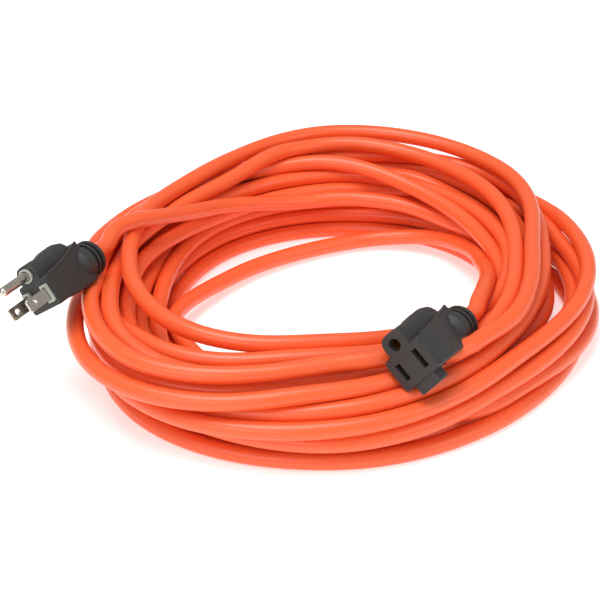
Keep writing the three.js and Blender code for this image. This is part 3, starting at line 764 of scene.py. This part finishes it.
nickel = metal("nickel", (0.66, 0.60, 0.52, 1.0), 0.24)
brass = metal("brass", (0.50, 0.27, 0.07, 1.0), 0.34, tarnish=(0.16, 0.08, 0.03, 1.0), tarnish_amount=0.4)
copper = metal("copper", (0.62, 0.26, 0.13, 1.0), 0.36, tarnish=(0.20, 0.08, 0.04, 1.0), tarnish_amount=0.3)
print("metals:", nickel.name, brass.name, copper.name)

# %% Give each design piece its finish
FINISHES = {
    "orange_jacket": orange_jacket, "black_vinyl": black_vinyl, "grey_nylon": grey_nylon, "nickel": nickel,
    "brass": brass, "copper": copper, "black_wire": black_wire, "white_wire": white_wire,
    "green_wire": green_wire}
FINISH_OF = {
    "cord_coil": "orange_jacket", "plug_tail": "orange_jacket", "connector_tail": "orange_jacket",
    "plug_body": "black_vinyl", "connector_body": "black_vinyl", "plug_bridge": "grey_nylon",
    "connector_carrier": "grey_nylon", "plug_line_blade": "nickel", "plug_neutral_blade": "nickel",
    "plug_ground_pin": "nickel"}


def finish_for(name):
    if name in FINISH_OF:
        return FINISH_OF[name]
    if name.endswith("contact"):
        return "brass"
    if name.endswith("strands"):
        return "copper"
    return {"line": "black_wire", "neutral": "white_wire", "ground": "green_wire"}[name.split("_")[1]]


for name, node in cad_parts.items():
    finish_slot = node.material_slots[0]
    finish_slot.link = "OBJECT"
    finish_slot.material = FINISHES[finish_for(name)]
print("finished nodes:", len(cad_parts))

# %% [markdown]
# ## Soft edges
# Moulded vinyl has no sharp edges: every corner has a small radius, and that radius catches
# the light. Modifiers do this without touching the design's mesh: one joins the corners of
# neighbouring facets, one shades the facets smoothly, one rounds the edges and the last evens
# the shading, so the low cones of the grips don't show their facets.

# %% A modifier that shades smoothly
def build_smoothing():
    group = bpy.data.node_groups.new("shade_smoothly", "GeometryNodeTree")
    group.is_modifier = True
    group.interface.new_socket(name="Geometry", in_out="INPUT", socket_type="NodeSocketGeometry")
    group.interface.new_socket(name="Geometry", in_out="OUTPUT", socket_type="NodeSocketGeometry")
    given = group.nodes.new("NodeGroupInput")
    smooth = group.nodes.new("GeometryNodeSetShadeSmooth")
    made = group.nodes.new("NodeGroupOutput")
    group.links.new(given.outputs["Geometry"], smooth.inputs["Geometry"])
    group.links.new(smooth.outputs["Geometry"], made.inputs["Geometry"])
    return group


smoothing = build_smoothing()
print("group:", smoothing.name)

# %% Round the edges of the moulded pieces
def soften(node, width, segments=3, angle=35.0):
    weld = node.modifiers.new("joined_corners", "WELD")
    weld.merge_threshold = 0.01 * MM
    node.modifiers.new("smooth_facets", "NODES").node_group = smoothing
    bevel = node.modifiers.new("edge_radius", "BEVEL")
    bevel.width = width
    bevel.segments = segments
    bevel.limit_method = "ANGLE"
    bevel.angle_limit = math.radians(angle)
    bevel.use_clamp_overlap = True
    even = node.modifiers.new("even_shading", "WEIGHTED_NORMAL")
    even.weight = 50
    even.keep_sharp = False


for name, width in (("plug_body", 0.5), ("connector_body", 0.5), ("plug_bridge", 0.3)):
    soften(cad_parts[name], width * MM)
for name in ("plug_line_blade", "plug_neutral_blade", "plug_ground_pin"):
    soften(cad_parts[name], 0.12 * MM, 2)
print("edges rounded")

# %% [markdown]
# ## The studio
# A plain pale floor and large soft lights, so the long highlight on every turn of the cord
# shows how round it is and nothing else competes with it. The paper carries painted light: it
# glows a little though it is no lamp, which paints out the shade that the coil casts on it.

# %% Floor
# painted light: how strongly the floor glows, which paints out the coil's shadow on it
PAPER_PAINTED_LIGHT = 0.42


def make_floor():
    mesh = bpy.data.meshes.new("studio_floor")
    reach = 6.0
    corners = [(-reach, -reach, 0), (reach, -reach, 0), (reach, reach, 0), (-reach, reach, 0)]
    mesh.from_pydata(corners, [], [(0, 1, 2, 3)])
    floor = bpy.data.objects.new("studio_floor", mesh)
    bpy.context.scene.collection.objects.link(floor)
    material = bpy.data.materials.new("studio_paper")
    material.use_nodes = True
    tree = material.node_tree
    shader = tree.nodes["Principled BSDF"]
    shader.inputs["Specular IOR Level"].default_value = 0.1
    # painted light: the floor emits white light of its own, though it is no lamp, to paint out the shade the
    # coil casts
    shader.inputs["Emission Color"].default_value = (1.0, 1.0, 1.0, 1.0)
    shader.inputs["Emission Strength"].default_value = PAPER_PAINTED_LIGHT
    paper = place_group(tree, handling_marks, Color=(0.93, 0.93, 0.93, 1.0), Shade_Drift=0.01, Roughness=0.9,
                        Roughness_Drift=0.05)
    link(tree, paper.outputs["Color"], shader.inputs["Base Color"])
    link(tree, paper.outputs["Roughness"], shader.inputs["Roughness"])
    mesh.materials.append(material)
    return floor


floor = make_floor()
print("floor:", floor.name)

# %% Lights
def soft_light(name, place, aim, size, watts, color=(1.0, 1.0, 1.0)):
    data = bpy.data.lights.new(name, "AREA")
    data.shape = "RECTANGLE"
    data.size, data.size_y = size
    data.energy = watts
    data.color = color
    light = bpy.data.objects.new(name, data)
    light.location = place
    light.rotation_euler = (Vector(aim) - Vector(place)).to_track_quat("-Z", "Y").to_euler()
    bpy.context.scene.collection.objects.link(light)
    return light


soft_light("key_light", (-0.25, -0.15, 1.4), (0, 0, 0), (0.9, 0.8), 14.0)
soft_light("fill_light", (1.1, -0.8, 0.9), (0, 0, 0), (0.9, 0.7), 3.5)
soft_light("front_light", (-0.6, -1.2, 0.8), (0, 0, 0), (1.0, 0.6), 5.0)
world = bpy.data.worlds.new("studio_room")
bpy.context.scene.world = world
world.use_nodes = True
world.node_tree.nodes["Background"].inputs["Color"].default_value = (1.0, 1.0, 1.0, 1.0)
world.node_tree.nodes["Background"].inputs["Strength"].default_value = 0.4
